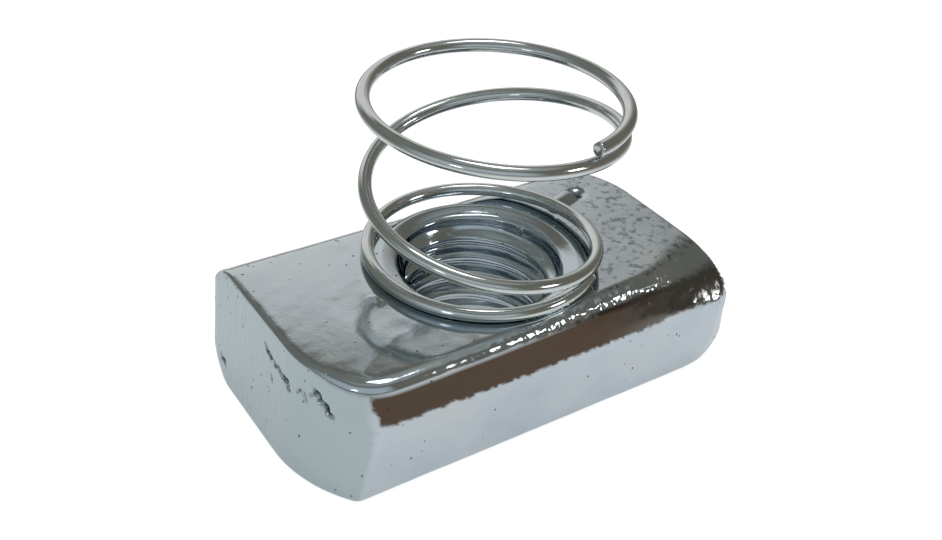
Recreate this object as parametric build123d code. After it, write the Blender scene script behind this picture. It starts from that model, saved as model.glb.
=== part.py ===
from build123d import *
import os
from math import cos, pi, radians, sin, sqrt

# Strut spring nut, M12, millimetres.
# X runs along the nut, Y across it, Z up towards the spring.
# The origin is at the middle of the gripping face, on the thread axis.

# nut body
WIDTH = 19.0                # across the long sides
THICKNESS = 9.15            # gripping face to spring seat
TOP_LENGTH = 33.5           # along the spring side
END_SPREAD = 1.1            # how much further each sheared end reaches at the gripping face
NOSE_RADIUS = 3.4           # rounded long edges of the drawn bar, spring side
ROLLOVER = 0.85             # how far the shear drew in the spring-side edge of the end at +X
ROLLOVER_HEIGHT = 3.3       # height of that rolled edge
ROLLOVER_BANDS = 4
LEADING_TOP_RADIUS = 7.7    # big corners, which lead when the nut turns into the channel
LEADING_FOOT_RADIUS = 11.0
LEADING_OVERRUN = 0.4       # how far past the long side their arcs would reach
LEADING_START = WIDTH / 2 + LEADING_OVERRUN - LEADING_TOP_RADIUS  # off the centre line
LEADING_EDGE = 0.5          # where they meet the long side
TRAILING_TOP_RADIUS = 0.8   # stop corners, spring side
TRAILING_RADIUS = 1.8       # stop corners, above the worn foot
TRAILING_FOOT_RADIUS = 4.5  # stop corners, gripping side
TRAILING_FOOT_HEIGHT = 2.0

# threaded hole
THREAD_MINOR_RADIUS = 5.1   # M12 x 1.75, bore before the thread
MOUTH_STEP = 2.0            # dished mouth under the spring: how much wider than the bore
MOUTH_DISH_STEP = 0.95
MOUTH_DISH_DEPTH = 0.35
MOUTH_THROAT_STEP = 0.7
MOUTH_THROAT_DEPTH = 1.0
MOUTH_DEPTH = 1.9
FOOT_CHAMFER = 0.9
OVERCUT = 1.0               # how far each cutting shape stands past the surface it cuts

# serrated gripping grooves, coined into the underside
GROOVE_SPACING = 24.4       # between the two groove centre lines
GROOVE_WIDTH = 2.6
GROOVE_LENGTH = 14.0
GROOVE_DEPTH = 1.2
GROOVE_DRAFT = 12.0         # slope of the groove walls, degrees
TOOTH_PITCH = 1.25
TOOTH_HEIGHT = 0.7

# spring
WIRE_DIAMETER = 1.0
TOP_COIL_RADIUS = 8.9       # axis to wire centre
TOP_COIL_SHIFT = (0.2, -0.2)  # first coil, off the thread axis
FOOT_COIL_RADIUS = 8.3
FOOT_COIL_SHIFT = (0.3, 0.4)  # last coil, off the thread axis
SPRING_HEIGHT = 13.15       # free height, over the wire
SEAT_CLEARANCE = 0.02       # wire to spring seat
TOP_END_ANGLE = -79.0       # where the upper end of the wire is cut
FALL_START = 219.0          # turn, from the upper end, where the first coil starts to fall
FALL_FULL = 504.0           # where it falls at the full pitch
FALL_EASE = 668.0           # where the pitch starts to close again
FALL_END = 868.0            # where the last coil lies flat
TOTAL_TURN = 1104.0
PATH_STEPS_PER_TURN = 24

# stakes that hold the last coil down: angle round the coil, and length of the lug
STAKES = ((17.5, 2.7), (189.0, 1.1))
STAKE_CLEARANCE = 0.1       # lug to wire
STAKE_WIDTH = 1.4
STAKE_HEIGHT = 0.6
STAKE_SLOPE = 0.35          # length of the lug's sloped outer end
PIT_LENGTH = 1.1
PIT_DEPTH = 0.6


def trailing_radius(height):
    """Stop corner radius: it opens quickly near the gripping face."""
    if height < TRAILING_FOOT_HEIGHT:
        share = height / TRAILING_FOOT_HEIGHT
        return TRAILING_FOOT_RADIUS + (TRAILING_RADIUS - TRAILING_FOOT_RADIUS) * share
    share = (height - TRAILING_FOOT_HEIGHT) / (THICKNESS - TRAILING_FOOT_HEIGHT)
    return TRAILING_RADIUS + (TRAILING_TOP_RADIUS - TRAILING_RADIUS) * share


def end_points(height, rolled):
    """Corner and arc points of an end at +X, from the front long side to the back one."""
    share = height / THICKNESS
    reach = TOP_LENGTH / 2 + END_SPREAD * (1 - share)
    if rolled:
        reach -= ROLLOVER * max(0.0, 1 - (THICKNESS - height) / ROLLOVER_HEIGHT) ** 2
    leading = LEADING_FOOT_RADIUS + (LEADING_TOP_RADIUS - LEADING_FOOT_RADIUS) * share
    trailing = trailing_radius(height)
    half_width = WIDTH / 2
    arc_x = reach - leading
    edge_y = half_width - LEADING_EDGE
    inner = leading - LEADING_EDGE
    edge_x = arc_x + sqrt(inner**2 - (edge_y - LEADING_START) ** 2)
    slope = Vector(edge_x - arc_x, edge_y - LEADING_START).normalized()
    bend = Vector(cos(pi / 4), -sin(pi / 4))
    trailing_centre = Vector(reach - trailing, -half_width + trailing)
    half_slope = (Vector(1, 0) + slope).normalized()
    edge_bend = (Vector(0, 1) + slope).normalized()
    leading_centre = Vector(arc_x, LEADING_START)
    edge_centre = Vector(edge_x, edge_y)
    return {
        "trailing": (
            Vector(reach - trailing, -half_width),
            trailing_centre + bend * trailing,
            Vector(reach, -half_width + trailing),
        ),
        "leading": (
            Vector(reach, LEADING_START),
            leading_centre + half_slope * leading,
            leading_centre + slope * leading,
        ),
        "edge": (
            leading_centre + slope * leading,
            edge_centre + edge_bend * LEADING_EDGE,
            Vector(edge_x, half_width),
        ),
    }


def outline(height):
    """Plan shape at one height: two ends, half a turn apart, the one at +X rolled over."""
    end = end_points(height, rolled=True)
    turned = end_points(height, rolled=False)
    other = {name: [Vector(-p.X, -p.Y) for p in points] for name, points in turned.items()}
    edges = []
    for this, following in ((end, other), (other, end)):
        edges.append(ThreePointArc(*this["trailing"]))
        edges.append(Line(this["trailing"][2], this["leading"][0]))
        edges.append(ThreePointArc(*this["leading"]))
        edges.append(ThreePointArc(*this["edge"]))
        edges.append(Line(this["edge"][2], following["trailing"][0]))
    return Pos(0, 0, height) * Wire(edges)


def bar():
    """Drawn bar: flat underside and sides, rounded long edges on the spring side."""
    half_width = WIDTH / 2
    section = Rectangle(WIDTH, THICKNESS, align=(Align.CENTER, Align.MIN))
    top_corners = section.vertices().group_by(Axis.Y)[-1]
    section = fillet(top_corners, NOSE_RADIUS)
    length = TOP_LENGTH + 2 * END_SPREAD + 2 * half_width
    return extrude(Plane.YZ * section, length / 2, both=True)


def blank():
    """The bar sheared to length, with ends that spread towards the gripping face."""
    heights = [0, TRAILING_FOOT_HEIGHT]
    for band in range(ROLLOVER_BANDS + 1):
        heights.append(THICKNESS - ROLLOVER_HEIGHT * (1 - band / ROLLOVER_BANDS))
    return bar() & Solid.make_loft([outline(height) for height in heights], ruled=True)


def hole():
    """Bore at the thread's minor diameter, with its dished mouth and foot chamfer."""
    mouth = THREAD_MINOR_RADIUS + MOUTH_STEP
    profile = Polyline(
        (0, -OVERCUT),
        (THREAD_MINOR_RADIUS + FOOT_CHAMFER + OVERCUT, -OVERCUT),
        (THREAD_MINOR_RADIUS, FOOT_CHAMFER),
        (THREAD_MINOR_RADIUS, THICKNESS - MOUTH_DEPTH),
        (THREAD_MINOR_RADIUS + MOUTH_THROAT_STEP, THICKNESS - MOUTH_THROAT_DEPTH),
        (THREAD_MINOR_RADIUS + MOUTH_DISH_STEP, THICKNESS - MOUTH_DISH_DEPTH),
        (mouth, THICKNESS),
        (mouth, THICKNESS + OVERCUT),
        (0, THICKNESS + OVERCUT),
        close=True,
    )
    return revolve(Plane.XZ * make_face(profile), Axis.Z)


def groove():
    """One gripping groove, less the teeth that stand on its floor."""
    draft = GROOVE_DEPTH * sin(radians(GROOVE_DRAFT))
    mouth = Rectangle(GROOVE_WIDTH, GROOVE_LENGTH)
    floor = Pos(0, 0, GROOVE_DEPTH) * Rectangle(
        GROOVE_WIDTH - 2 * draft, GROOVE_LENGTH - 2 * draft
    )
    pocket = loft([mouth.face(), floor.face()], ruled=True)
    floor_length = GROOVE_LENGTH - 2 * draft
    count = int(floor_length // TOOTH_PITCH)
    tooth = Plane.YZ * make_face(
        Polyline(
            (-TOOTH_PITCH / 2, GROOVE_DEPTH + OVERCUT),
            (-TOOTH_PITCH / 2, GROOVE_DEPTH),
            (0, GROOVE_DEPTH - TOOTH_HEIGHT),
            (TOOTH_PITCH / 2, GROOVE_DEPTH),
            (TOOTH_PITCH / 2, GROOVE_DEPTH + OVERCUT),
            close=True,
        )
    )
    ridge = extrude(tooth, GROOVE_WIDTH, both=True)
    first = -(count - 1) * TOOTH_PITCH / 2
    for number in range(count):
        pocket -= Pos(0, first + number * TOOTH_PITCH, 0) * ridge
    return pocket


def stake(angle, length):
    """A punched lug that runs out from the coil, and the pit that the punch left behind it."""
    inner = FOOT_COIL_RADIUS + WIRE_DIAMETER / 2 + STAKE_CLEARANCE
    outer = inner + length
    root = THICKNESS - PIT_DEPTH / 2
    lug = Polyline(
        (inner, root),
        (inner, THICKNESS + STAKE_HEIGHT),
        (outer - STAKE_SLOPE, THICKNESS + STAKE_HEIGHT),
        (outer, THICKNESS),
        (outer, root),
        close=True,
    )
    pit = Polyline(
        (outer, THICKNESS + PIT_DEPTH),
        (outer, THICKNESS),
        (outer + PIT_LENGTH / 3, THICKNESS - PIT_DEPTH),
        (outer + PIT_LENGTH, THICKNESS),
        (outer + PIT_LENGTH, THICKNESS + PIT_DEPTH),
        close=True,
    )
    place = Pos(*FOOT_COIL_SHIFT, 0) * Rot(0, 0, angle)
    raised = place * extrude(Plane.XZ * make_face(lug), STAKE_WIDTH / 2, both=True)
    sunk = place * extrude(Plane.XZ * make_face(pit), STAKE_WIDTH / 2, both=True)
    return raised, sunk


def nut_body():
    """The whole steel block in one piece."""
    body = blank() - hole()
    for side in (-1, 1):
        body -= Pos(side * GROOVE_SPACING / 2, 0, 0) * groove()
    for angle, length in STAKES:
        raised, sunk = stake(angle, length)
        body = body + raised - sunk
    return body.solid()


def fall(turn):
    """Share of the full fall at a turn angle: a parabola, a straight run, a parabola."""
    gentle = (FALL_FULL - FALL_START) / 2
    steady = FALL_EASE - FALL_FULL
    closing = (FALL_END - FALL_EASE) / 2
    if turn <= FALL_START:
        run = 0.0
    elif turn <= FALL_FULL:
        run = (turn - FALL_START) ** 2 / (4 * gentle)
    elif turn <= FALL_EASE:
        run = gentle + turn - FALL_FULL
    elif turn <= FALL_END:
        run = gentle + steady + closing - (FALL_END - turn) ** 2 / (4 * closing)
    else:
        run = gentle + steady + closing
    return run / (gentle + steady + closing)


def spring_path():
    """Wire centre line: closed top coil, one open coil, closed last coil on the seat."""
    top = THICKNESS + SEAT_CLEARANCE + SPRING_HEIGHT - WIRE_DIAMETER / 2
    drop = SPRING_HEIGHT - WIRE_DIAMETER
    steps = round(TOTAL_TURN / 360 * PATH_STEPS_PER_TURN)
    points = []
    for step in range(steps + 1):
        turn = TOTAL_TURN * step / steps
        angle = radians(TOP_END_ANGLE + turn)
        share = fall(turn)
        radius = TOP_COIL_RADIUS + (FOOT_COIL_RADIUS - TOP_COIL_RADIUS) * share
        middle = Vector(*TOP_COIL_SHIFT) * (1 - share) + Vector(*FOOT_COIL_SHIFT) * share
        height = top - drop * share
        points.append(middle + Vector(radius * cos(angle), radius * sin(angle), height))
    return Spline(points)


def spring():
    """Round wire swept along the path."""
    path = spring_path()
    section = Plane(path @ 0, z_dir=path % 0) * Circle(WIRE_DIAMETER / 2)
    coil = sweep(section, path=path)
    return coil.solid()


os.makedirs("parts", exist_ok=True)
for name, make in (("nut_body", nut_body), ("spring", spring)):
    solid = make()
    print(name, "valid", solid.is_valid, "volume", round(solid.volume, 2))
    export_step(solid, f"parts/{name}.step")
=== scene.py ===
# %% [markdown]
# # A strut spring nut in bright zinc plate
#
# The object has two pieces: a steel block with a tapped hole, and a wire spring that stands on it. The block
# is turned crosswise in a steel channel, and the spring holds it against the lips until a bolt is in.
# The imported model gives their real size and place. Here each gets the surface of the real thing: rounded
# edges, a true thread, small dents, and a mirror-like plated finish.

# %% Load the frame
from math import cos, pi, radians, sin

import bpy
import numpy as np
from mathutils import Matrix, Vector


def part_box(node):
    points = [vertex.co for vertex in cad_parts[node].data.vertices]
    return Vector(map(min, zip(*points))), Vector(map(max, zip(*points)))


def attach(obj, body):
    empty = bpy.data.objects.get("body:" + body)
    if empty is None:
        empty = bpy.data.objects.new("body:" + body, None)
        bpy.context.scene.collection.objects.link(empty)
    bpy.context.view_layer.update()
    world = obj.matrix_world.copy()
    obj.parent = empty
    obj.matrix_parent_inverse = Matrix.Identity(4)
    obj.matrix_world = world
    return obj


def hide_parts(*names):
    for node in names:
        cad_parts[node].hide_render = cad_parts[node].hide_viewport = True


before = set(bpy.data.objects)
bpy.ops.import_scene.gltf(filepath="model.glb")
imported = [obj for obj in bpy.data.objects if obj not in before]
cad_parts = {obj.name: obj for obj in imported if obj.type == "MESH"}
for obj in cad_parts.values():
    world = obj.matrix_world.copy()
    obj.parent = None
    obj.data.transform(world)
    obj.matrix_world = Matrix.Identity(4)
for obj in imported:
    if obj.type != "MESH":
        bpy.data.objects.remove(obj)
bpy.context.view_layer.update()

MM = 0.001
body_low, body_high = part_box("nut_body")
spring_low, spring_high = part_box("spring")
print("block from", body_low, "to", body_high)
print("spring from", spring_low, "to", spring_high)

# %% [markdown]
# ## Tools that every piece uses
#
# A surface is a grid of points. Each row is one step along the piece and each column one step around it,
# so numpy can work out all the points at once, and the faces are the little squares between them.

# %% Make a mesh from a grid of points
def grid_faces(rows, columns, wrap_rows=False):
    """Square faces of a grid that closes on itself across its columns, and along its rows if asked."""
    last = rows if wrap_rows else rows - 1
    row, column = np.meshgrid(np.arange(last), np.arange(columns), indexing="ij")
    next_row = (row + 1) % rows
    next_column = (column + 1) % columns
    corners = (
        row * columns + column,
        row * columns + next_column,
        next_row * columns + next_column,
        next_row * columns + column,
    )
    return np.stack(corners, -1).reshape(-1, 4)


def add_mesh(name, points, faces):
    """A smooth-shaded object at the origin, with its place in its mesh."""
    mesh = bpy.data.meshes.new(name)
    mesh.from_pydata(points.reshape(-1, 3).tolist(), [], [list(face) for face in faces])
    mesh.polygons.foreach_set("use_smooth", np.ones(len(mesh.polygons), bool))
    mesh.update()
    piece = bpy.data.objects.new(name, mesh)
    bpy.context.scene.collection.objects.link(piece)
    print(name, len(mesh.vertices), "points", len(mesh.polygons), "faces")
    return piece


# %% [markdown]
# Cold steel that was rolled, sheared and plated is never quite flat. A sum of sine waves in many
# directions is a cheap, smooth unevenness: each wave has its own direction, length and start.

# %% Gentle unevenness
def ripple(points, wavelength, seed, waves=14):
    """Sum of sines over random directions, with lengths near one wavelength; runs from about -1 to 1."""
    chance = np.random.default_rng(seed)
    direction = chance.normal(size=(waves, 3))
    direction /= np.linalg.norm(direction, axis=1)[:, None]
    length = wavelength * chance.uniform(0.7, 1.5, waves)
    start = chance.uniform(0, 2 * pi, waves)
    phase = points @ (direction / length[:, None]).T * 2 * pi + start
    return np.sin(phase).sum(-1) / np.sqrt(waves)


# %% [markdown]
# ## The block's form as a distance
#
# The block is a length of drawn bar, cut at both ends by a shear. A box with bevels would round every edge
# alike, but here each edge has its own form: tight below, wide at the back, slanted at the front, and
# rolled over where the shear came through. A signed distance can say all that in a few lines. It tells how
# far a point is outside a form, and is negative inside. The bar has one and the cut ends another, and the
# block is where both are negative. A soft maximum of the two rounds the edge between them, as wear does.

# %% Sizes of the block, in metres
# An end moves out by END_SPREAD at the foot and in by ROLLOVER above, and LEADING_FLARE adds to an arc's
# radius. FLARE_FROM and FLARE_SHIFT are plain shares, of the height and of the flare.
WIDTH = body_high.y - body_low.y
THICKNESS = 9.15 * MM
END_SPREAD = 1.1 * MM
TOP_LENGTH = body_high.x - body_low.x - 2 * END_SPREAD
NOSE_RADIUS = 3.4 * MM
FOOT_EDGE_RADIUS = 0.45 * MM
ROLLOVER = 0.85 * MM
ROLLOVER_HEIGHT = 3.3 * MM
LEADING_TOP_RADIUS = 7.7 * MM
LEADING_FOOT_RADIUS = 11.0 * MM
LEADING_START = 2.2 * MM
TRAILING_TOP_RADIUS = 0.8 * MM
TRAILING_RADIUS = 2.0 * MM
TRAILING_FOOT_RADIUS = 4.5 * MM
TRAILING_FOOT_HEIGHT = 2.6 * MM
LEADING_FLARE = 1.9 * MM
FLARE_FROM = 0.6
FLARE_SHIFT = 0.1
EDGE_BLEND = 0.34 * MM
print("block", round(TOP_LENGTH / MM, 2), "mm long above,", round(WIDTH / MM, 2), "mm wide")


# %% Two helpers that blend
def soft_max(first, second, blend):
    """The larger of two distances, with a rounded step of the given width where they are nearly equal."""
    near = np.clip(1 - np.abs(first - second) / blend, 0, None)
    return np.maximum(first, second) + near**2 * blend / 4


def ramp(value, start, end):
    """Smooth step from 0 at start to 1 at end: 3 t squared - 2 t cubed."""
    t = np.clip((value - start) / (end - start), 0, 1)
    return t * t * (3 - 2 * t)


# %% [markdown]
# The front upper edge has three faces: the upright side, a flank above it that slants back, and the spring
# side. The flank is nearly upright at -X and leans more and more towards +X, where the bar's edge is blunt.

# %% Distance to the bar
FLANK_FOOT = 5.9 * MM
FLANK_BLEND = 0.25 * MM
SLANT_LEAST = 0.1
SLANT_GROWTH = 1.5
SLANT_AT_END = 1.2
ROUNDING_LEAST = 1.1
ROUNDING_GROWTH = 1.2


def flank_tilt(x):
    """Angle whose tangent is slant over height; the slant grows in two smooth steps along x in mm."""
    slant = (SLANT_LEAST + SLANT_GROWTH * ramp(x, -12, 20) + SLANT_AT_END * ramp(x, 9, 18)) * MM
    return np.arctan2(slant, THICKNESS - FLANK_FOOT)


def front_edge_distance(points):
    """Soft maximum of the distances to side, flank and spring side; its step grows towards +X."""
    x = points[..., 0] / MM
    rounding = (ROUNDING_LEAST + ROUNDING_GROWTH * ramp(x, 8, 17)) * MM
    tilt = flank_tilt(x)
    side = -points[..., 1] - WIDTH / 2
    flank = side * np.cos(tilt) + (points[..., 2] - FLANK_FOOT) * np.sin(tilt)
    return soft_max(soft_max(side, flank, FLANK_BLEND), points[..., 2] - THICKNESS, rounding)


def bar_distance(points):
    """Distance to a rectangle with round corners, small below and large above, or to the front upper edge."""
    middle = THICKNESS / 2
    radius = np.where(points[..., 2] > middle, NOSE_RADIUS, FOOT_EDGE_RADIUS)
    beyond_y = np.abs(points[..., 1]) - (WIDTH / 2 - radius)
    beyond_z = np.abs(points[..., 2] - middle) - (middle - radius)
    outside = np.hypot(np.clip(beyond_y, 0, None), np.clip(beyond_z, 0, None))
    inside = np.minimum(np.maximum(beyond_y, beyond_z), 0)
    at_front = (points[..., 1] < 0) & (points[..., 2] > middle)
    return np.where(at_front, front_edge_distance(points), outside + inside - radius)


slants = np.degrees(flank_tilt(np.array([-14.0, 0.0, 14.0])))
print("the front flank leans by", slants.round(1), "degrees at -X, in the middle and at +X")

# %% [markdown]
# Each end is a straight cut between two corners. The leading corner is a big arc, so that the nut can turn
# in the channel, and the other is tight, so that it stops crosswise. Both ends are the same, half a turn
# apart, but for the shear's roll: it took the upper edge down at +X, and only the leading corner at -X.

# %% Distance to the cut ends
def end_distance(points):
    """Distance to a straight line, to the leading arc past LEADING_START, or to the stop corner's arc."""
    side = np.where(points[..., 0] < 0, -1.0, 1.0)
    x = points[..., 0] * side
    y = points[..., 1] * side
    up = np.clip(points[..., 2] / THICKNESS, 0, 1)
    rolled = np.clip(1 - (1 - up) * THICKNESS / ROLLOVER_HEIGHT, 0, 1) ** 2 * (side > 0)
    reach = TOP_LENGTH / 2 + END_SPREAD * (1 - up) - ROLLOVER * rolled
    flare = LEADING_FLARE * ramp(up, FLARE_FROM, 1.0) * (side < 0)
    leading_radius = LEADING_FOOT_RADIUS + (LEADING_TOP_RADIUS - LEADING_FOOT_RADIUS) * up + flare
    leading_start = LEADING_START + FLARE_SHIFT * flare
    worn = np.clip(1 - up * THICKNESS / TRAILING_FOOT_HEIGHT, 0, 1) ** 2
    trailing = TRAILING_RADIUS + (TRAILING_TOP_RADIUS - TRAILING_RADIUS) * up
    trailing = trailing + (TRAILING_FOOT_RADIUS - TRAILING_RADIUS) * worn
    straight = x - reach
    leading_x = x - (reach - leading_radius)
    leading_y = y - leading_start
    leading = np.hypot(leading_x, leading_y) - leading_radius
    stop_x = x - (reach - trailing)
    stop_y = -WIDTH / 2 + trailing - y
    stop = np.hypot(stop_x, stop_y) - trailing
    distance = np.where((leading_y > 0) & (leading_x > 0), leading, straight)
    return np.where((stop_y > 0) & (stop_x > 0), stop, distance)


# %% Distance to the block
EDGE_ROLL = 0.15
CORNER_ROLL = 0.75


def block_distance(points):
    """Soft maximum of bar and ends; its step is widest at the leading corner of the -X end."""
    y = points[..., 1] / MM
    roll = EDGE_ROLL * ramp(-y, -7, 1) + CORNER_ROLL * ramp(-y, 5, 9)
    extra = roll * (points[..., 0] < 0) * ramp(points[..., 2] / MM, 4, 7)
    return soft_max(bar_distance(points), end_distance(points), EDGE_BLEND + extra * MM)


sharp_corner = np.array([-TOP_LENGTH / 2, -WIDTH / 2, THICKNESS])
print("a sharp corner would be", round(float(block_distance(sharp_corner)) / MM, 2), "mm outside the block")

# %% [markdown]
# A grid that starts near the block is pulled onto it. The distance grows fastest straight outwards, so each
# point steps back along that direction by its own distance, a few times over.

# %% Settle points onto the block
def gradient(points, step=0.004 * MM):
    """Unit direction in which the distance grows: its differences a small step each way along the axes."""
    parts = []
    for axis in range(3):
        shift = np.zeros(3)
        shift[axis] = step
        parts.append(block_distance(points + shift) - block_distance(points - shift))
    slope = np.stack(parts, -1)
    length = np.linalg.norm(slope, axis=-1, keepdims=True)
    return slope / np.where(length > 0, length, 1)


def settle(points, rounds=12):
    """Takes gradient times distance from each point, again and again, until it lies on the surface."""
    for _ in range(rounds):
        points = points - gradient(points) * block_distance(points)[..., None]
    return points


# %% [markdown]
# ## The tapped hole
#
# A metric thread is a 60 degree groove that climbs one pitch in each turn. A tap cuts it on the real block,
# but a cut in the mesh would leave ragged faces at both ends. Seen as a radius, it depends only on the
# height less the climb at that angle, so one formula gives the whole helix. The dished mouth and the
# chamfer below are cones, and the hole's wall is whichever of the three is widest.

# %% Radius of the hole's wall
THREAD_PITCH = 1.75 * MM
THREAD_MINOR = 5.1 * MM
THREAD_DEPTH = 0.86 * MM
MOUTH_RADII = np.array([5.1, 5.32, 5.85, 6.05, 6.55, 7.1]) * MM
MOUTH_DEPTHS = np.array([2.0, 1.8, 1.05, 0.35, 0.14, 0.0]) * MM
FOOT_CHAMFER = 0.9 * MM
HOLE_BLEND = 0.12 * MM
CREST_FLAT = 0.16
FLANK_SHARE = 0.62
SOFT_SHARE = 0.35


def thread_radius(angle, height):
    """Minor radius plus depth times a triangle wave of height / pitch - angle / turn, cut flat at both ends.

    The shares are of half a pitch: the crest's flat, the flank, and how much of the flank's ends is rounded.
    """
    turn = (height / THREAD_PITCH - angle / (2 * pi)) % 1.0
    rise = 1 - np.abs(2 * turn - 1)
    share = np.clip((rise - CREST_FLAT) / FLANK_SHARE, 0, 1)
    share = share * share * (3 - 2 * share) * SOFT_SHARE + share * (1 - SOFT_SHARE)
    return THREAD_MINOR + THREAD_DEPTH * share


def hole_radius(angle, height):
    """Soft maximum of the thread, the mouth's steps and the chamfer, which narrows by as much as it rises."""
    mouth = np.interp(THICKNESS - height, MOUTH_DEPTHS[::-1], MOUTH_RADII[::-1])
    foot = THREAD_MINOR + FOOT_CHAMFER - height
    wall = soft_max(thread_radius(angle, height), mouth, HOLE_BLEND)
    return soft_max(wall, foot, HOLE_BLEND)


print("turns of thread", round(THICKNESS / THREAD_PITCH, 1))


# %% [markdown]
# ## Stakes, grooves, pits and tears
#
# A punch blow beside the spring's last coil threw up a lug and left a pit, and a weaker one on the other
# side raised the steel a little. Underneath, each end has a coined groove with cross teeth that bite the
# channel's lips. The sheared end carries small tears. Each could be a mesh of its own, but on the real
# block they are one skin with it. All of them are heights or depths that vary over the surface, so they
# are added to the settled points.

# %% Stake heights on the spring side
# Each stake is (angle round the coil in degrees, lug length, lug height, pit depth). Those lengths are in
# mm, and so are the lug's half width and the pit's sizes. The centre and inner radius are in metres.
STAKES = ((17.5, 2.7, 0.6, 0.6), (189.0, 1.1, 0.05, 0.0))
STAKE_CENTRE = np.array([0.3, 0.4]) * MM
STAKE_INNER = 8.9 * MM
STAKE_HALF_WIDTH = 0.75
PIT_GAP = 0.55
PIT_LENGTH = 0.42
PIT_WIDTH = 0.5
PIT_ASIDE = -0.1


def bump(value, centre, width):
    """Bell-shaped curve of one variable: exp(-((value - centre) / width) squared)."""
    return np.exp(-(((value - centre) / width) ** 2))


def stake_height(x, y):
    """For each stake, a half-round lug that runs out from the coil, less a bell-shaped pit past its end."""
    height = np.zeros_like(x)
    for angle, length, high, deep in STAKES:
        out = np.array([cos(radians(angle)), sin(radians(angle))])
        along = ((x - STAKE_CENTRE[0]) * out[0] + (y - STAKE_CENTRE[1]) * out[1] - STAKE_INNER) / MM
        across = ((y - STAKE_CENTRE[1]) * out[0] - (x - STAKE_CENTRE[0]) * out[1]) / MM
        side = np.sqrt(np.clip(1 - (across / STAKE_HALF_WIDTH) ** 2, 0, 1))
        lug = high * ramp(along, 0.0, 0.25) * ramp(length - along, -0.05, 0.5) * side
        pit = deep * bump(along, length + PIT_GAP, PIT_LENGTH) * bump(across, PIT_ASIDE, PIT_WIDTH)
        height += (lug - pit) * MM
    return height


print("stakes at", [stake[0] for stake in STAKES], "degrees")


# %% Groove depth on the gripping side
GROOVE_X = 12.2 * MM
GROOVE_HALF_WIDTH = 1.3 * MM
GROOVE_HALF_LENGTH = 7.0 * MM
GROOVE_DEPTH = 1.2 * MM
GROOVE_DRAFT = 0.25 * MM
TOOTH_PITCH = 1.25 * MM
TOOTH_HEIGHT = 0.7 * MM


def groove_depth(x, y):
    """Flat-floored trench with sloped walls, less triangular teeth across its length."""
    from_middle = np.abs(np.abs(x) - GROOVE_X)
    wall_x = np.clip((GROOVE_HALF_WIDTH - from_middle) / GROOVE_DRAFT, 0, 1)
    wall_y = np.clip((GROOVE_HALF_LENGTH - np.abs(y)) / GROOVE_DRAFT, 0, 1)
    tooth = 1 - np.abs(((y / TOOTH_PITCH) % 1.0) * 2 - 1)
    return (GROOVE_DEPTH - TOOTH_HEIGHT * tooth) * np.minimum(wall_x, wall_y)


print("teeth in each groove", int(2 * GROOVE_HALF_LENGTH / TOOTH_PITCH))


# %% Tears and nicks in the sheared ends
# Each is a short furrow: (distance across the end, height, length, width, lean, depth). The lean is in
# degrees and the rest in mm.
TEARS = (
    (0.1, 7.35, 0.5, 0.12, 60, 0.2),
    (-0.45, 7.05, 1.0, 0.13, 30, 0.34),
    (-1.7, 6.82, 1.9, 0.13, 8, 0.3),
    (-2.9, 6.62, 0.9, 0.14, 14, 0.32),
    (-3.3, 6.2, 0.7, 0.14, 75, 0.3),
    (-1.05, 5.45, 0.6, 0.12, 80, 0.2),
    (-4.5, 6.72, 0.8, 0.12, -8, 0.24),
    (-5.05, 6.4, 0.7, 0.12, 80, 0.26),
    (-5.6, 7.15, 0.8, 0.12, -24, 0.3),
    (-6.35, 6.75, 2.0, 0.18, 50, 0.5),
    (3.7, 6.6, 0.4, 0.12, 40, 0.14),
    (-2.6, 5.0, 0.5, 0.1, 85, 0.12),
    (-6.4, 5.3, 0.6, 0.1, 80, 0.12),
    (6.5, 1.85, 1.3, 0.25, 25, 0.32),
)
TEAR_DEPTH_SHARE = 0.8
TEAR_WIDTH_SHARE = 0.7
TEAR_DEEPEST = 0.5
TEAR_WANDER = 0.1
TEAR_WAVES = 7


def tear_depth(across, height):
    """Sum of furrows, each a bell curve, long one way and narrow the other, that wanders as a sine."""
    depth = np.zeros_like(across)
    for centre, level, length, width, lean, deep in TEARS:
        away = across / MM - centre
        up = height / MM - level
        along = away * cos(radians(lean)) + up * sin(radians(lean))
        over = up * cos(radians(lean)) - away * sin(radians(lean))
        wavy = over + TEAR_WANDER * np.sin(along * TEAR_WAVES)
        furrow = bump(along, 0, length / 2) * bump(wavy, 0, width * TEAR_WIDTH_SHARE)
        depth += TEAR_DEPTH_SHARE * deep * furrow
    return np.minimum(depth, TEAR_DEEPEST) * MM


print("tears", len(TEARS))


# %% [markdown]
# ## One grid for the whole block
#
# A block with a hole is a ring, so one closed grid covers it, with no seam and no pole. At every angle
# around the hole a profile runs up the thread, out over the spring side, down the outer wall, in along the
# underside and back to the thread. The points stand closer together where an edge needs them.

# %% Lay out the profile
AROUND = 600
CROWDING = 0.13
HALVINGS = 30
turn = np.linspace(0, 2 * pi, AROUND, endpoint=False)
angle = turn - CROWDING * np.sin(2 * turn)
ray = np.stack([np.cos(angle), np.sin(angle)], -1)


def outer_radius(level, half_width):
    """Distance from the axis to the plan outline at each angle, found by halving an interval many times."""
    low = np.full(AROUND, 8.0 * MM)
    high = np.full(AROUND, 24.0 * MM)
    for _ in range(HALVINGS):
        middle = (low + high) / 2
        plan = np.stack([middle * ray[:, 0], middle * ray[:, 1], np.full(AROUND, level)], -1)
        outside = np.maximum(end_distance(plan), np.abs(plan[:, 1]) - half_width)
        low = np.where(outside > 0, low, middle)
        high = np.where(outside > 0, middle, high)
    return (low + high) / 2


top_edge = outer_radius(THICKNESS, WIDTH / 2)
foot_edge = outer_radius(0.0, WIDTH / 2)
print("outline", round(top_edge.min() / MM, 2), "to", round(top_edge.max() / MM, 2), "mm from the axis")

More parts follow.
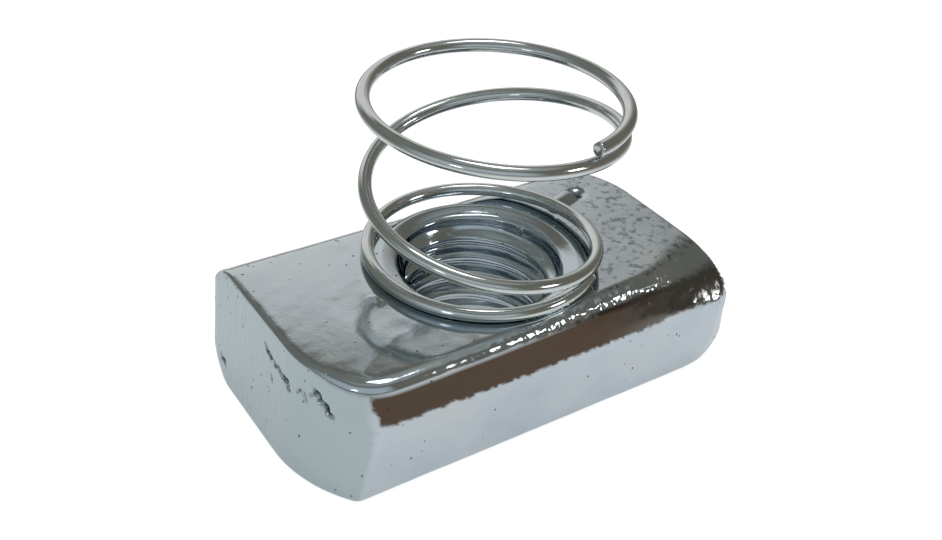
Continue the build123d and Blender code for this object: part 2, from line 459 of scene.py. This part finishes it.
# %% Rings up the hole and over the spring side
EDGE_STEPS = np.array([0.0, 0.09, 0.18, 0.29, 0.44, 0.66, 1.0]) * MM
MOUTH_STEPS = np.array([1.9, 1.7, 1.4, 1.1, 0.9, 0.7, 0.5, 0.38, 0.26, 0.16, 0.08, 0.03]) * MM
thread_steps = np.linspace(FOOT_CHAMFER * 0.99, THICKNESS - 2.1 * MM, 36)
wall_height = np.concatenate([thread_steps, THICKNESS - MOUTH_STEPS])


def ring(radius, height):
    """Points at one radius and height for each angle; either may be a number or an array of angles."""
    radius = np.broadcast_to(radius, (AROUND,))
    height = np.broadcast_to(height, (AROUND,))
    return np.stack([radius * ray[:, 0], radius * ray[:, 1], height], -1)


bore = [ring(hole_radius(angle, level), level) for level in wall_height]
rim_out = MOUTH_RADII[-1] + np.array([0.04, 0.15, 0.35]) * MM
rim = [ring(radius, THICKNESS) for radius in rim_out]
inner_top = rim_out[-1]
top_share = np.concatenate([np.linspace(0.05, 0.15, 3), np.linspace(0.18, 0.76, 19), np.linspace(0.82, 1, 4)])
flat_end = top_edge - EDGE_STEPS[-1]
top = [ring(inner_top + (flat_end - inner_top) * share, THICKNESS) for share in top_share]
top += [ring(top_edge - step, THICKNESS) for step in EDGE_STEPS[-2::-1]]
print("rings in the hole", len(bore), "and on the spring side", len(rim + top))

# %% Rings down the wall and in along the underside
side_levels = np.concatenate([
    THICKNESS - EDGE_STEPS[1:],
    np.linspace(THICKNESS - 1.2 * MM, 1.05 * MM, 42),
    EDGE_STEPS[:0:-1] * 0.9,
])
side = [ring(top_edge + (foot_edge - top_edge) * (1 - level / THICKNESS), level) for level in side_levels]
foot = [ring(foot_edge - step, 0) for step in EDGE_STEPS]
knots = np.array([
    (GROOVE_X + GROOVE_HALF_WIDTH + 0.6 * MM, 8.9 * MM),
    (GROOVE_X + GROOVE_HALF_WIDTH, 8.5 * MM),
    (GROOVE_X + GROOVE_HALF_WIDTH - GROOVE_DRAFT, 8.3 * MM),
    (GROOVE_X + 0.5 * MM, 8.0 * MM),
    (GROOVE_X, 7.85 * MM),
    (GROOVE_X - 0.5 * MM, 7.7 * MM),
    (GROOVE_X - GROOVE_HALF_WIDTH + GROOVE_DRAFT, 7.5 * MM),
    (GROOVE_X - GROOVE_HALF_WIDTH, 7.3 * MM),
    (GROOVE_X - GROOVE_HALF_WIDTH - 1.5 * MM, 6.8 * MM),
])
for reach_x, reach_y in knots:
    across_x = reach_x / np.maximum(np.abs(ray[:, 0]), 1e-6)
    across_y = reach_y / np.maximum(np.abs(ray[:, 1]), 1e-6)
    foot.append(ring(np.minimum(np.minimum(across_x, across_y), foot_edge - 1.05 * MM), 0))
chamfer = [ring(THREAD_MINOR + FOOT_CHAMFER + out * MM, 0) for out in (0.3, 0.05)]
chamfer += [ring(THREAD_MINOR + FOOT_CHAMFER - level * MM, level * MM) for level in (0.05, 0.3, 0.6)]
print("profile points", len(bore + rim + top + side + foot + chamfer))

# %% Settle the outer rings
edge_start = len(bore) + len(rim)
edge_end = edge_start + len(top) + len(side) + len(EDGE_STEPS)
body_points = np.stack(bore + rim + top + side + foot + chamfer)
outer = settle(body_points[edge_start:edge_end])
outward = gradient(outer)
print("furthest from the surface", np.abs(block_distance(outer)).max() / MM, "mm")

# %% Add the marks of its making
LONG_WAVE = 0.016
SHORT_WAVE = 0.007
on_end = ramp(np.abs(outward[..., 0]), 0.35, 0.6) * (np.abs(outward[..., 2]) < 0.3)
tears_and_painted_shade = on_end * (outer[..., 0] < 0) * tear_depth(outer[..., 1], outer[..., 2])
wave = LONG_WAVE * ripple(outer / MM, 5.5, 3) + SHORT_WAVE * ripple(outer / MM, 2.0, 4)
marks = wave * MM - tears_and_painted_shade
body_points[edge_start:edge_end] = outer + outward * np.minimum(marks, 0.0)[..., None]
plan_x = body_points[..., 0]
plan_y = body_points[..., 1]
lift = np.zeros(plan_x.shape)
on_top = slice(edge_start, edge_start + len(top))
lift[on_top] = stake_height(plan_x, plan_y)[on_top]
foot_start = edge_end - len(EDGE_STEPS)
lift[foot_start:] = groove_depth(plan_x, plan_y)[foot_start:]
body_points[..., 2] = np.clip(body_points[..., 2] + lift, 0, None)
nut_body = add_mesh("nut_body_plated", body_points, grid_faces(len(body_points), AROUND, wrap_rows=True))

# %% [markdown]
# The finish differs from place to place, and a material can't know where an edge or a cut is. So each point
# keeps a few numbers from 0 to 1 that the material reads: how much painted reflection, rounded edge, sheared
# steel, torn steel with painted shade, and pitting there is. The painted reflection is a brown band on each
# long side that stands for the dark room reflected there, from a ragged line up to where the edge turns over,
# and it stops at the leading corners.

# %% Two helpers for marks
def add_share(piece, name, values):
    """Keeps one number from 0 to 1 at each point, for the material to read."""
    kept = piece.data.attributes.new(name, "FLOAT", "POINT")
    kept.data.foreach_set("value", values.ravel().astype("float32"))


def over_edges(values):
    """Fills the outer rows with the given values and the hole's rows with 0."""
    everywhere = np.zeros(plan_x.shape)
    everywhere[edge_start:edge_end] = values
    return everywhere


# %% Painted reflection of the dark room, and rounded edges
PAINTED_BAND_LINE = 5.72
PAINTED_BAND_RISE = 0.65
lean = outward[..., 2]
beside = np.abs(outward[..., 0])
jag = 0.012 * ripple(outer / MM, 0.9, 7) + 0.01 * ripple(outer / MM, 0.35, 8)
line = PAINTED_BAND_LINE + PAINTED_BAND_RISE * ramp(outer[..., 0] / MM, 8.0, 17.0)
long_side = 1 - ramp(beside + 2 * jag + 0.06 * (8.0 - outer[..., 2] / MM), 0.42, 0.5)
turned = lean - np.sin(flank_tilt(outer[..., 0] / MM)) + jag
limit = 0.09 + 0.02 * ramp(outer[..., 0] / MM, -4, 5)
# Painted reflection: this brown band on the long sides is colour that stands for the dark room reflected in
# the edge.
painted_band = ramp(outer[..., 2] / MM + 6 * jag, line - 0.05, line + 0.13) * long_side
painted_band = painted_band * (1 - ramp(turned, limit, limit * 2))
rounded = ramp(lean, 0.25, 0.45) * (1 - ramp(lean, 0.85, 0.96)) * (1 - ramp(beside, 0.15, 0.3))
rounded = rounded * (1 - 0.85 * painted_band) * (0.2 + 0.8 * ramp(outer[..., 0] / MM, -9.0, 4.0))
painted_band = painted_band * (1 - 0.24 * ramp(outer[..., 0] / MM, 4.0, 13.0))
add_share(nut_body, "painted_room_reflection", over_edges(painted_band))
add_share(nut_body, "rounded_edge", over_edges(rounded))
# The share printed here is the painted reflection band.
print("drawn skin on", round(float((painted_band > 0.5).mean()) * 100, 1), "percent of the outer points")

# %% Sheared steel, tears and the stake's pit with painted shade, and pitting
upper = ramp(lean, 0.9, 0.98)
towards_corner = outer[..., 0] / MM - 0.55 * outer[..., 1] / MM + 1.5 * ripple(outer / MM, 3.0, 9)
pitted = upper * ramp(towards_corner, 3.0, 13.0)
# Painted shade: the tears and the stake's pit are darkened in colour for the shade inside them, and made
# matt.
painted_shade_in_hollows = over_edges(ramp(tears_and_painted_shade / MM, 0.05, 0.2))
painted_shade_in_hollows[on_top] += 0.9 * ramp(-lift[on_top] / MM, 0.08, 0.35)
add_share(nut_body, "sheared", over_edges(on_end))
add_share(nut_body, "tears_and_painted_shade", painted_shade_in_hollows)
add_share(nut_body, "pitted", over_edges(pitted))
print("sheared steel on", round(float((on_end > 0.5).mean()) * 100, 1), "percent of the outer points")
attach(nut_body, "root")
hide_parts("nut_body")

# %% [markdown]
# ## The spring
#
# The spring is one length of drawn wire, wound on a mandrel and then cut. A curve with a round bevel would
# do for its form, but a grid of its own gives closed ends and a map for the wire's fine lines. The centre
# line is a circle whose height falls with the angle: flat for the top coil, then faster and faster, a
# steady fall, and slower again until the last coil lies on the block. The wire is a circle carried along
# that line, and the two cut ends are closed by small domes.

# %% The wire's centre line
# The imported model's wire has a radius of 0.5 mm. The grid's is a hair less, to stay inside the model's box.
WIRE_RADIUS = 0.4985 * MM
TOP_COIL_RADIUS = 8.9 * MM
FOOT_COIL_RADIUS = 8.3 * MM
TOP_COIL_SHIFT = np.array([0.2, -0.2]) * MM
FOOT_COIL_SHIFT = np.array([0.3, 0.4]) * MM
TOP_END_ANGLE = -79.0
FALL_START = 219.0
FALL_FULL = 504.0
FALL_EASE = 668.0
FALL_END = 868.0
TOTAL_TURN = 1104.0
spring_bottom = spring_low.z + WIRE_RADIUS
spring_top = spring_high.z - WIRE_RADIUS


def fall(degrees):
    """Share of the whole fall: a growing parabola, a straight run and a closing parabola of the angle."""
    gentle = (FALL_FULL - FALL_START) / 2
    steady = FALL_EASE - FALL_FULL
    closing = (FALL_END - FALL_EASE) / 2
    first = np.clip(degrees - FALL_START, 0, FALL_FULL - FALL_START) ** 2 / (4 * gentle)
    middle = np.clip(degrees - FALL_FULL, 0, steady)
    left = 1 - np.clip(degrees - FALL_EASE, 0, 2 * closing) / (2 * closing)
    last = closing * (1 - left**2)
    return (first + middle + last) / (gentle + steady + closing)


degrees = np.linspace(0, TOTAL_TURN, 1240)
share = fall(degrees)
coil_angle = np.radians(TOP_END_ANGLE + degrees)
coil_radius = TOP_COIL_RADIUS + (FOOT_COIL_RADIUS - TOP_COIL_RADIUS) * share
coil_middle = TOP_COIL_SHIFT * (1 - share[:, None]) + FOOT_COIL_SHIFT * share[:, None]
centre_line = np.stack([
    coil_middle[:, 0] + coil_radius * np.cos(coil_angle),
    coil_middle[:, 1] + coil_radius * np.sin(coil_angle),
    spring_top - (spring_top - spring_bottom) * share,
], -1)
wire_length = np.linalg.norm(np.diff(centre_line, axis=0), axis=1).sum()
print("wire length", round(wire_length / MM, 1), "mm in", round(TOTAL_TURN / 360, 2), "turns")

# %% Carry the wire's circle along it
# The end circles' sizes, and how far they stand back from the wire's end, are shares of its radius.
SIDES = 28
DOME_SCALE = np.array([0.05, 0.5, 0.86, 0.97, 1.0])
DOME_BACK = np.array([0.0, 0.02, 0.06, 0.14, 0.28])


def sweep_wire(line, radius):
    """Line + radius * (outwards * cos + upwards * sin), both square to the line; end circles shrink."""
    along = np.gradient(line, axis=0)
    along /= np.linalg.norm(along, axis=1)[:, None]
    outwards = line - np.array([0, 0, 1]) * line[:, 2:3]
    outwards -= along * (outwards * along).sum(1)[:, None]
    outwards /= np.linalg.norm(outwards, axis=1)[:, None]
    upwards = np.cross(along, outwards)
    dome = len(DOME_SCALE)
    back = DOME_BACK * radius
    scale = np.concatenate([DOME_SCALE, np.ones(len(line) - 2), DOME_SCALE[::-1]])
    index = np.concatenate([np.zeros(dome, int), np.arange(1, len(line) - 1), np.full(dome, len(line) - 1)])
    shift = np.concatenate([back, np.zeros(len(line) - 2), -back[::-1]])
    centre = line[index] + along[index] * shift[:, None]
    around = np.linspace(0, 2 * pi, SIDES, endpoint=False)
    reach = radius * scale[:, None, None]
    offset = outwards[index][:, None] * np.cos(around)[:, None]
    offset = offset + upwards[index][:, None] * np.sin(around)[:, None]
    return centre[:, None] + reach * offset


wire_points = sweep_wire(centre_line, WIRE_RADIUS)
wire_faces = grid_faces(len(wire_points), SIDES)[:, ::-1]
caps = [list(range(SIDES)), list(range(wire_points.size // 3 - SIDES, wire_points.size // 3))[::-1]]
spring = add_mesh("spring_wire_coil", wire_points, wire_faces.tolist() + caps)
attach(spring, "root")
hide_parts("spring")

# %% [markdown]
# A pattern that follows the wire needs a map that follows it: U runs along the wire in millimetres, and V
# once around it.

# %% Map the wire
steps = np.linalg.norm(np.diff(wire_points.mean(1), axis=0), axis=1)
along_wire = np.concatenate([[0], np.cumsum(steps)]) / MM
map_u = np.repeat(along_wire, SIDES)
map_v = np.tile(np.arange(SIDES) / SIDES, len(wire_points))
corner_point = np.zeros(len(spring.data.loops), int)
spring.data.loops.foreach_get("vertex_index", corner_point)
wire_map = spring.data.uv_layers.new(name="along_wire")
wire_map.data.foreach_set("uv", np.stack([map_u, map_v], -1)[corner_point].ravel().astype("float32"))
for piece in (nut_body, spring):
    print(piece.name, "needed repair" if piece.data.validate() else "is sound")

# %% [markdown]
# ## Materials
#
# Zinc plate is metal all through, so its colour is the colour of its reflections: a cool pale grey. Bright
# plate is smooth, with a faint orange peel and small pits where the steel below was rough. One helper turns
# a hex colour to light, and one adds a node with its settings and links.

# %% Colours and nodes
def linear(hex_colour):
    """An sRGB hex colour as the linear red, green, blue and alpha that shaders take."""
    parts = np.array([int(hex_colour[i:i + 2], 16) / 255 for i in (1, 3, 5)])
    low = parts / 12.92
    high = ((parts + 0.055) / 1.055) ** 2.4
    return (*np.where(parts <= 0.04045, low, high).tolist(), 1.0)


def node(tree, kind, inputs=None, stops=(), **settings):
    """Adds a node. An input is a value or the socket that feeds it; a stop is a ramp's place and colour."""
    added = tree.nodes.new(kind)
    for name, value in settings.items():
        setattr(added, name, value)
    for socket, value in (inputs or {}).items():
        if isinstance(value, bpy.types.NodeSocket):
            tree.links.new(value, added.inputs[socket])
        else:
            added.inputs[socket].default_value = value
    for index, (place, hex_colour) in enumerate(stops):
        elements = added.color_ramp.elements
        element = elements[index] if index < len(elements) else elements.new(place)
        element.position = place
        element.color = linear(hex_colour)
    return added


def new_material(name):
    """An empty node material and its tree."""
    material = bpy.data.materials.new(name)
    material.use_nodes = True
    material.node_tree.nodes.clear()
    return material, material.node_tree


# %% [markdown]
# Electroplated zinc shows the steel below it. The sheared ends keep fine upright streaks, the rounded long
# edges keep small dents that catch the light, and the spring side is a little hazy, with pits that gather at
# one end. A brown band on the long sides is a painted reflection of the dark room, and the tears and the
# stake's pit carry painted shade. An even metal would look like chrome, so every one of these is drawn. A
# pattern's scale
# is one over its size in mm: clouds of 6 mm, orange peel of 1.1 mm, dents and specks of 0.8 mm, grain of 0.6
# mm, pocks of 0.5 mm, and streaks 0.4 mm apart and 6 mm long. Real streaks are finer, but would not show.

# %% Patterns of the plate
# Each noise is (scale per mm, detail, roughness); the streaks' is on stretched coordinates.
PLATE_NOISE = {
    "cloud": (0.16, 5.0, 0.6),
    "grain": (1.6, 6.0, 0.65),
    "peel": (0.9, 3.0, 0.5),
    "pocks": (1.9, 2.0, 0.45),
    "dents": (1.3, 1.0, 0.4),
    "streaks": (1.0, 3.0, 0.6),
}
PLATE_MARKS = ("painted_room_reflection", "rounded_edge", "sheared", "tears_and_painted_shade", "pitted")


def plate_patterns(tree):
    """Noises of the piece's own coordinates in mm, and specks: cell centres where the grain is high."""
    place = node(tree, "ShaderNodeTexCoord").outputs["Object"]
    millimetres = node(tree, "ShaderNodeMapping", {0: place, "Scale": (1000, 1000, 1000)}).outputs[0]
    upright = node(tree, "ShaderNodeMapping", {0: place, "Scale": (2600, 2600, 160)}).outputs[0]
    drawn = {}
    for name, (scale, detail, roughness) in PLATE_NOISE.items():
        drawn[name] = node(tree, "ShaderNodeTexNoise", {
            "Vector": upright if name == "streaks" else millimetres,
            "Scale": scale,
            "Detail": detail,
            "Roughness": roughness,
        }).outputs[0]
    cells = node(tree, "ShaderNodeTexVoronoi", {"Vector": millimetres, "Scale": 1.3, "Randomness": 1.0})
    dot = node(tree, "ShaderNodeValToRGB", {0: cells.outputs["Distance"]},
               stops=((0.06, "#FFFFFF"), (0.16, "#000000"))).outputs[0]
    sparse = node(tree, "ShaderNodeValToRGB", {0: drawn["grain"]},
                  stops=((0.52, "#000000"), (0.6, "#FFFFFF"))).outputs[0]
    drawn["speck"] = node(tree, "ShaderNodeMath", {0: dot, 1: sparse}, operation="MULTIPLY").outputs[0]
    return drawn


print("patterns", list(PLATE_NOISE))


# %% Colour of the plate
def plate_colour(tree, drawn, share):
    """Cloudy zinc, mixed in turn with the tint of cut steel, a brown painted reflection of the dark room, and
    dark pits with painted shade in the tears and the stake's pit.
    """
    pock = node(tree, "ShaderNodeValToRGB", {0: drawn["pocks"]},
                stops=((0.52, "#000000"), (0.68, "#C8C8C8"))).outputs[0]
    gathered = node(tree, "ShaderNodeMath", {0: pock, 1: share["pitted"]}, operation="MULTIPLY").outputs[0]
    pits = node(tree, "ShaderNodeMath", {0: drawn["speck"], 1: gathered}, operation="MAXIMUM").outputs[0]
    pits_and_painted_shade = node(tree, "ShaderNodeMath", {0: pits, 1: share["tears_and_painted_shade"]}, operation="MAXIMUM").outputs[0]
    colour = node(tree, "ShaderNodeValToRGB", {0: drawn["cloud"]},
                  stops=((0.3, "#B4BEC6"), (0.55, "#BEC8CE"), (0.75, "#C6CBCC"))).outputs[0]
    # The brown tint is a painted reflection of the dark room; the dark tint is real pits together with
    # painted shade in the tears and the stake's pit.
    tints = ((share["sheared"], "#A8B6BA"), (share["painted_room_reflection"], "#54473B"), (pits_and_painted_shade, "#30373B"))
    for amount, tint in tints:
        mixed = node(tree, "ShaderNodeMix", {0: amount, 6: colour, 7: linear(tint)}, data_type="RGBA")
        colour = mixed.outputs[2]
    return colour


# %% Bumps of the plate
def plate_bumps(tree, drawn, share):
    """Bumps of four patterns, each on top of the last, and the specks sunk in; distances are in metres."""
    dented = node(tree, "ShaderNodeMath", {0: share["rounded_edge"], 1: 0.5}, operation="MULTIPLY").outputs[0]
    streaked = node(tree, "ShaderNodeMath", {0: share["sheared"], 1: 0.25}, operation="MULTIPLY").outputs[0]
    bumps = (
        ("peel", 0.05, 0.0002),
        ("grain", 0.03, 0.0001),
        ("dents", dented, 0.0005),
        ("streaks", streaked, 0.0002),
        ("speck", 0.5, 0.0001),
    )
    below = {}
    for name, strength, distance in bumps:
        inputs = {"Height": drawn[name], "Strength": strength, "Distance": distance, **below}
        bumped = node(tree, "ShaderNodeBump", inputs, invert=name == "speck")
        below = {"Normal": bumped.outputs[0]}
    return below["Normal"]


# %% Bright zinc plate on the block
def bright_zinc_plate():
    """Smooth metal; its roughness follows the clouds, and tears and the stake's pit are matt."""
    material, tree = new_material("bright_zinc_plate_on_rolled_steel")
    share = {name: node(tree, "ShaderNodeAttribute", attribute_name=name).outputs["Fac"]
             for name in PLATE_MARKS}
    drawn = plate_patterns(tree)
    hazy = node(tree, "ShaderNodeMapRange", {0: drawn["cloud"], 1: 0.35, 2: 0.7, 3: 0.06, 4: 0.15}).outputs[0]
    matt = node(tree, "ShaderNodeMath", {0: share["tears_and_painted_shade"], 1: 0.45}, operation="MULTIPLY").outputs[0]
    rough = node(tree, "ShaderNodeMath", {0: hazy, 1: matt}, operation="MAXIMUM").outputs[0]
    shader = node(tree, "ShaderNodeBsdfPrincipled", {
        "Base Color": plate_colour(tree, drawn, share),
        "Roughness": rough,
        "Normal": plate_bumps(tree, drawn, share),
        "Metallic": 1.0,
    })
    node(tree, "ShaderNodeOutputMaterial", {"Surface": shader.outputs[0]})
    print(material.name, len(tree.nodes), "nodes")
    return material


# %% [markdown]
# Drawn wire is smoother than the block, because a die has pulled it. The die leaves faint lines along the
# wire, about 3 mm long and a sixteenth of the wire's girth apart, so the pattern is stretched on the map.

# %% Bright drawn wire on the spring
def bright_drawn_wire():
    """Smooth metal whose colour and bump follow one noise, stretched along the wire."""
    material, tree = new_material("bright_zinc_plate_on_drawn_wire")
    along = node(tree, "ShaderNodeUVMap", uv_map="along_wire").outputs[0]
    stretched = node(tree, "ShaderNodeMapping", {0: along, "Scale": (0.35, 16, 1)}).outputs[0]
    noise = {"Vector": stretched, "Scale": 1.0, "Detail": 3.0, "Roughness": 0.5}
    lines = node(tree, "ShaderNodeTexNoise", noise).outputs[0]
    colour = node(tree, "ShaderNodeValToRGB", {0: lines}, stops=((0.3, "#BDC4C5"), (0.7, "#D3D8D8")))
    die_bump = node(tree, "ShaderNodeBump", {"Height": lines, "Strength": 0.15, "Distance": 0.00003})
    shader = node(tree, "ShaderNodeBsdfPrincipled", {
        "Base Color": colour.outputs[0],
        "Normal": die_bump.outputs[0],
        "Metallic": 1.0,
        "Roughness": 0.1,
    })
    node(tree, "ShaderNodeOutputMaterial", {"Surface": shader.outputs[0]})
    print(material.name, len(tree.nodes), "nodes")
    return material


nut_body.data.materials.append(bright_zinc_plate())
spring.data.materials.append(bright_drawn_wire())

# %% [markdown]
# ## The studio
#
# Polished metal shows what stands around it, so the surroundings are part of its look. The nut stands on a
# white board in a dark room with a pale wall behind it. A dome around it, seen only in reflections, carries
# those tones, and three soft lamps give the highlights. An even white sky would light it well enough, but
# would leave the metal without form.

# %% White board
def white_board():
    """Matt white with a glow of its own; a reflection mixes in the dim room with distance from the nut."""
    material, tree = new_material("white_board_floor")
    rays = node(tree, "ShaderNodeLightPath").outputs
    place = node(tree, "ShaderNodeTexCoord").outputs["Object"]
    away = node(tree, "ShaderNodeVectorMath", {0: place}, operation="LENGTH").outputs["Value"]
    far = node(tree, "ShaderNodeMapRange", {0: away, 1: 0.03, 2: 0.09, 3: 0.0, 4: 0.85}).outputs[0]
    far = node(tree, "ShaderNodeMath", {0: far, 1: rays["Is Glossy Ray"]}, operation="MULTIPLY").outputs[0]
    board = node(tree, "ShaderNodeBsdfDiffuse", {"Color": linear("#B9BABB")})
    glow = node(tree, "ShaderNodeMapRange", {0: rays["Is Camera Ray"], 3: 0.46, 4: 0.74}).outputs[0]
    lift = node(tree, "ShaderNodeEmission", {"Strength": glow})
    white = node(tree, "ShaderNodeAddShader", {0: board.outputs[0], 1: lift.outputs[0]})
    room = node(tree, "ShaderNodeEmission", {"Color": linear("#6E6255")})
    shown = node(tree, "ShaderNodeMixShader", {0: far, 1: white.outputs[0], 2: room.outputs[0]})
    node(tree, "ShaderNodeOutputMaterial", {"Surface": shown.outputs[0]})
    return material


FLOOR_HALF = 3
floor_corners = [(-FLOOR_HALF, -FLOOR_HALF, 0), (FLOOR_HALF, -FLOOR_HALF, 0),
                 (FLOOR_HALF, FLOOR_HALF, 0), (-FLOOR_HALF, FLOOR_HALF, 0)]
floor_mesh = bpy.data.meshes.new("floor")
floor_mesh.from_pydata(floor_corners, [], [(0, 1, 2, 3)])
floor_mesh.materials.append(white_board())
floor = bpy.data.objects.new("floor", floor_mesh)
bpy.context.scene.collection.objects.link(floor)
print("board", 2 * FLOOR_HALF, "m wide")

# %% [markdown]
# Azimuth 0 is +X and 90 is +Y. The dome is a grid over both angles, and each point's colour is worked out
# from smooth steps: a dark room all round, a grey side, pale things near the -X end, a grey ceiling above 48
# degrees, dark between 55 and 195 degrees, and the pale wall low down between 20 and 112 degrees.

# %% Dome of room tones
DOME_RADIUS = 0.5
ROOM_TONE = np.array(linear("#77746A")[:3])
SIDE_TONE = np.array(linear("#7D8079")[:3])
NEAR_TONE = np.array(linear("#C0C9CF")[:3])
CEILING_TONE = np.array(linear("#A4A7A4")[:3])
WALL_TONE = np.array(linear("#EDEBE8")[:3])
AZIMUTHS = 180
ELEVATIONS = 61
azimuths = np.radians(np.linspace(0, 360, AZIMUTHS + 1)[:-1])
elevations = np.radians(np.linspace(0, 89.5, ELEVATIONS))
dome_elevation, dome_azimuth = np.meshgrid(elevations, azimuths, indexing="ij")
dome_points = DOME_RADIUS * np.stack([
    np.cos(dome_elevation) * np.cos(dome_azimuth),
    np.cos(dome_elevation) * np.sin(dome_azimuth),
    np.sin(dome_elevation),
], -1)
rise = np.degrees(dome_elevation)
round_to = np.degrees(dome_azimuth)
wall = ramp(-rise, -44, -36) * ramp(round_to, 20, 62) * ramp(-round_to, -112, -92)
behind = ramp(round_to, 80, 110) * ramp(-round_to, -285, -262)
near = ramp(round_to, 150, 200) * ramp(-round_to, -285, -262) * ramp(-rise, -44, -32)
open_above = 0.85 * ramp(round_to, 55, 85) * ramp(-round_to, -195, -165)
ceiling = ramp(rise, 48, 62) * (1 - open_above)
tones = np.broadcast_to(ROOM_TONE, (*rise.shape, 3))
layers = ((behind, SIDE_TONE), (near, NEAR_TONE), (ceiling, CEILING_TONE), (wall, WALL_TONE))
for amount, layer_tone in layers:
    tones = tones * (1 - amount[..., None]) + layer_tone * amount[..., None]
print("mean tone of the dome", tones.mean((0, 1)).round(3))

# %% The dome itself
dome_mesh = bpy.data.meshes.new("room_dome")
dome_mesh.from_pydata(dome_points.reshape(-1, 3).tolist(), [], grid_faces(*rise.shape).tolist())
tone = dome_mesh.attributes.new("tone", "FLOAT_COLOR", "POINT")
opaque = np.ones((*rise.shape, 1))
tone.data.foreach_set("color", np.concatenate([tones, opaque], -1).ravel().astype("float32"))
dome_material, tree = new_material("room_tones")
dome_tone = node(tree, "ShaderNodeAttribute", attribute_name="tone").outputs["Color"]
dome_glow = node(tree, "ShaderNodeEmission", {"Color": dome_tone})
node(tree, "ShaderNodeOutputMaterial", {"Surface": dome_glow.outputs[0]})
dome_mesh.materials.append(dome_material)
dome = bpy.data.objects.new("room_dome", dome_mesh)
bpy.context.scene.collection.objects.link(dome)
dome.visible_camera = False
dome.visible_diffuse = False
dome.visible_shadow = False


# %% Lamps
def soft_lamp(name, elevation, azimuth, width, height, power, distance=0.4):
    """A flat area lamp at distance times the unit vector of both angles, facing the object."""
    lamp = bpy.data.lights.new(name, "AREA")
    lamp.shape = "RECTANGLE"
    lamp.size = width
    lamp.size_y = height
    lamp.energy = power
    item = bpy.data.objects.new(name, lamp)
    away = Vector((cos(radians(elevation)) * cos(radians(azimuth)),
                   cos(radians(elevation)) * sin(radians(azimuth)), sin(radians(elevation))))
    item.location = away * distance
    item.rotation_euler = away.to_track_quat("Z", "Y").to_euler()
    bpy.context.scene.collection.objects.link(item)
    return item


lamps = [
    soft_lamp("overhead_lamp", elevation=80, azimuth=20, width=0.15, height=0.13, power=0.25),
    soft_lamp("right_lamp", elevation=21, azimuth=-50, width=0.09, height=0.08, power=0.15),
    soft_lamp("left_lamp", elevation=8, azimuth=-150, width=0.06, height=0.05, power=0.03),
]
print("lamps", len(lamps), "with", round(sum(lamp.data.energy for lamp in lamps), 2), "W in all")

# %% [markdown]
# The sky is white wherever the camera, a mirror or glass sees it, and a little weaker as a light.

# %% White sky
world = bpy.data.worlds.new("white_sky")
bpy.context.scene.world = world
world.use_nodes = True
sky = world.node_tree
sky.nodes.clear()
rays = node(sky, "ShaderNodeLightPath").outputs
shown = rays["Is Camera Ray"]
for other in ("Is Glossy Ray", "Is Transmission Ray"):
    shown = node(sky, "ShaderNodeMath", {0: shown, 1: rays[other]}, operation="MAXIMUM").outputs[0]
strength = node(sky, "ShaderNodeMapRange", {0: shown, 3: 0.75, 4: 1.0})
backdrop = node(sky, "ShaderNodeBackground", {"Color": (1, 1, 1, 1), "Strength": strength.outputs[0]})
node(sky, "ShaderNodeOutputWorld", {"Surface": backdrop.outputs[0]})

# %% [markdown]
# ## The camera
#
# A normal lens about 80 mm from the object looks down at about 34 degrees onto the front long side and the
# -X end. It is turned a little about its own axis. The depth that such a near view gives is part of the
# look: the near corner is much larger than the far one.

# %% Place the camera
AZIMUTH = 35.64
ELEVATION = 34.42
ROLL = 4.22
DISTANCE = 83.12 * MM
TARGET = Vector((-0.84, -0.18, 8.36)) * MM
LENS = 43.64
away = Vector((-sin(radians(AZIMUTH)) * cos(radians(ELEVATION)),
               -cos(radians(AZIMUTH)) * cos(radians(ELEVATION)), sin(radians(ELEVATION))))
level_right = -away.cross(Vector((0, 0, 1))).normalized()
level_up = away.cross(level_right)
right = level_right * cos(radians(ROLL)) + level_up * sin(radians(ROLL))
up = level_up * cos(radians(ROLL)) - level_right * sin(radians(ROLL))
camera_data = bpy.data.cameras.new("camera")
camera_data.sensor_width = 36.0
camera_data.lens = LENS
camera_data.clip_start = 0.002
camera = bpy.data.objects.new("camera", camera_data)
turned_to = Matrix((right, up, away)).transposed().to_4x4()
camera.matrix_world = Matrix.Translation(TARGET + away * DISTANCE) @ turned_to
bpy.context.scene.collection.objects.link(camera)
bpy.context.scene.camera = camera
bpy.context.scene.view_settings.view_transform = "Standard"
print("camera at", [round(value / MM, 1) for value in camera.matrix_world.translation], "mm")
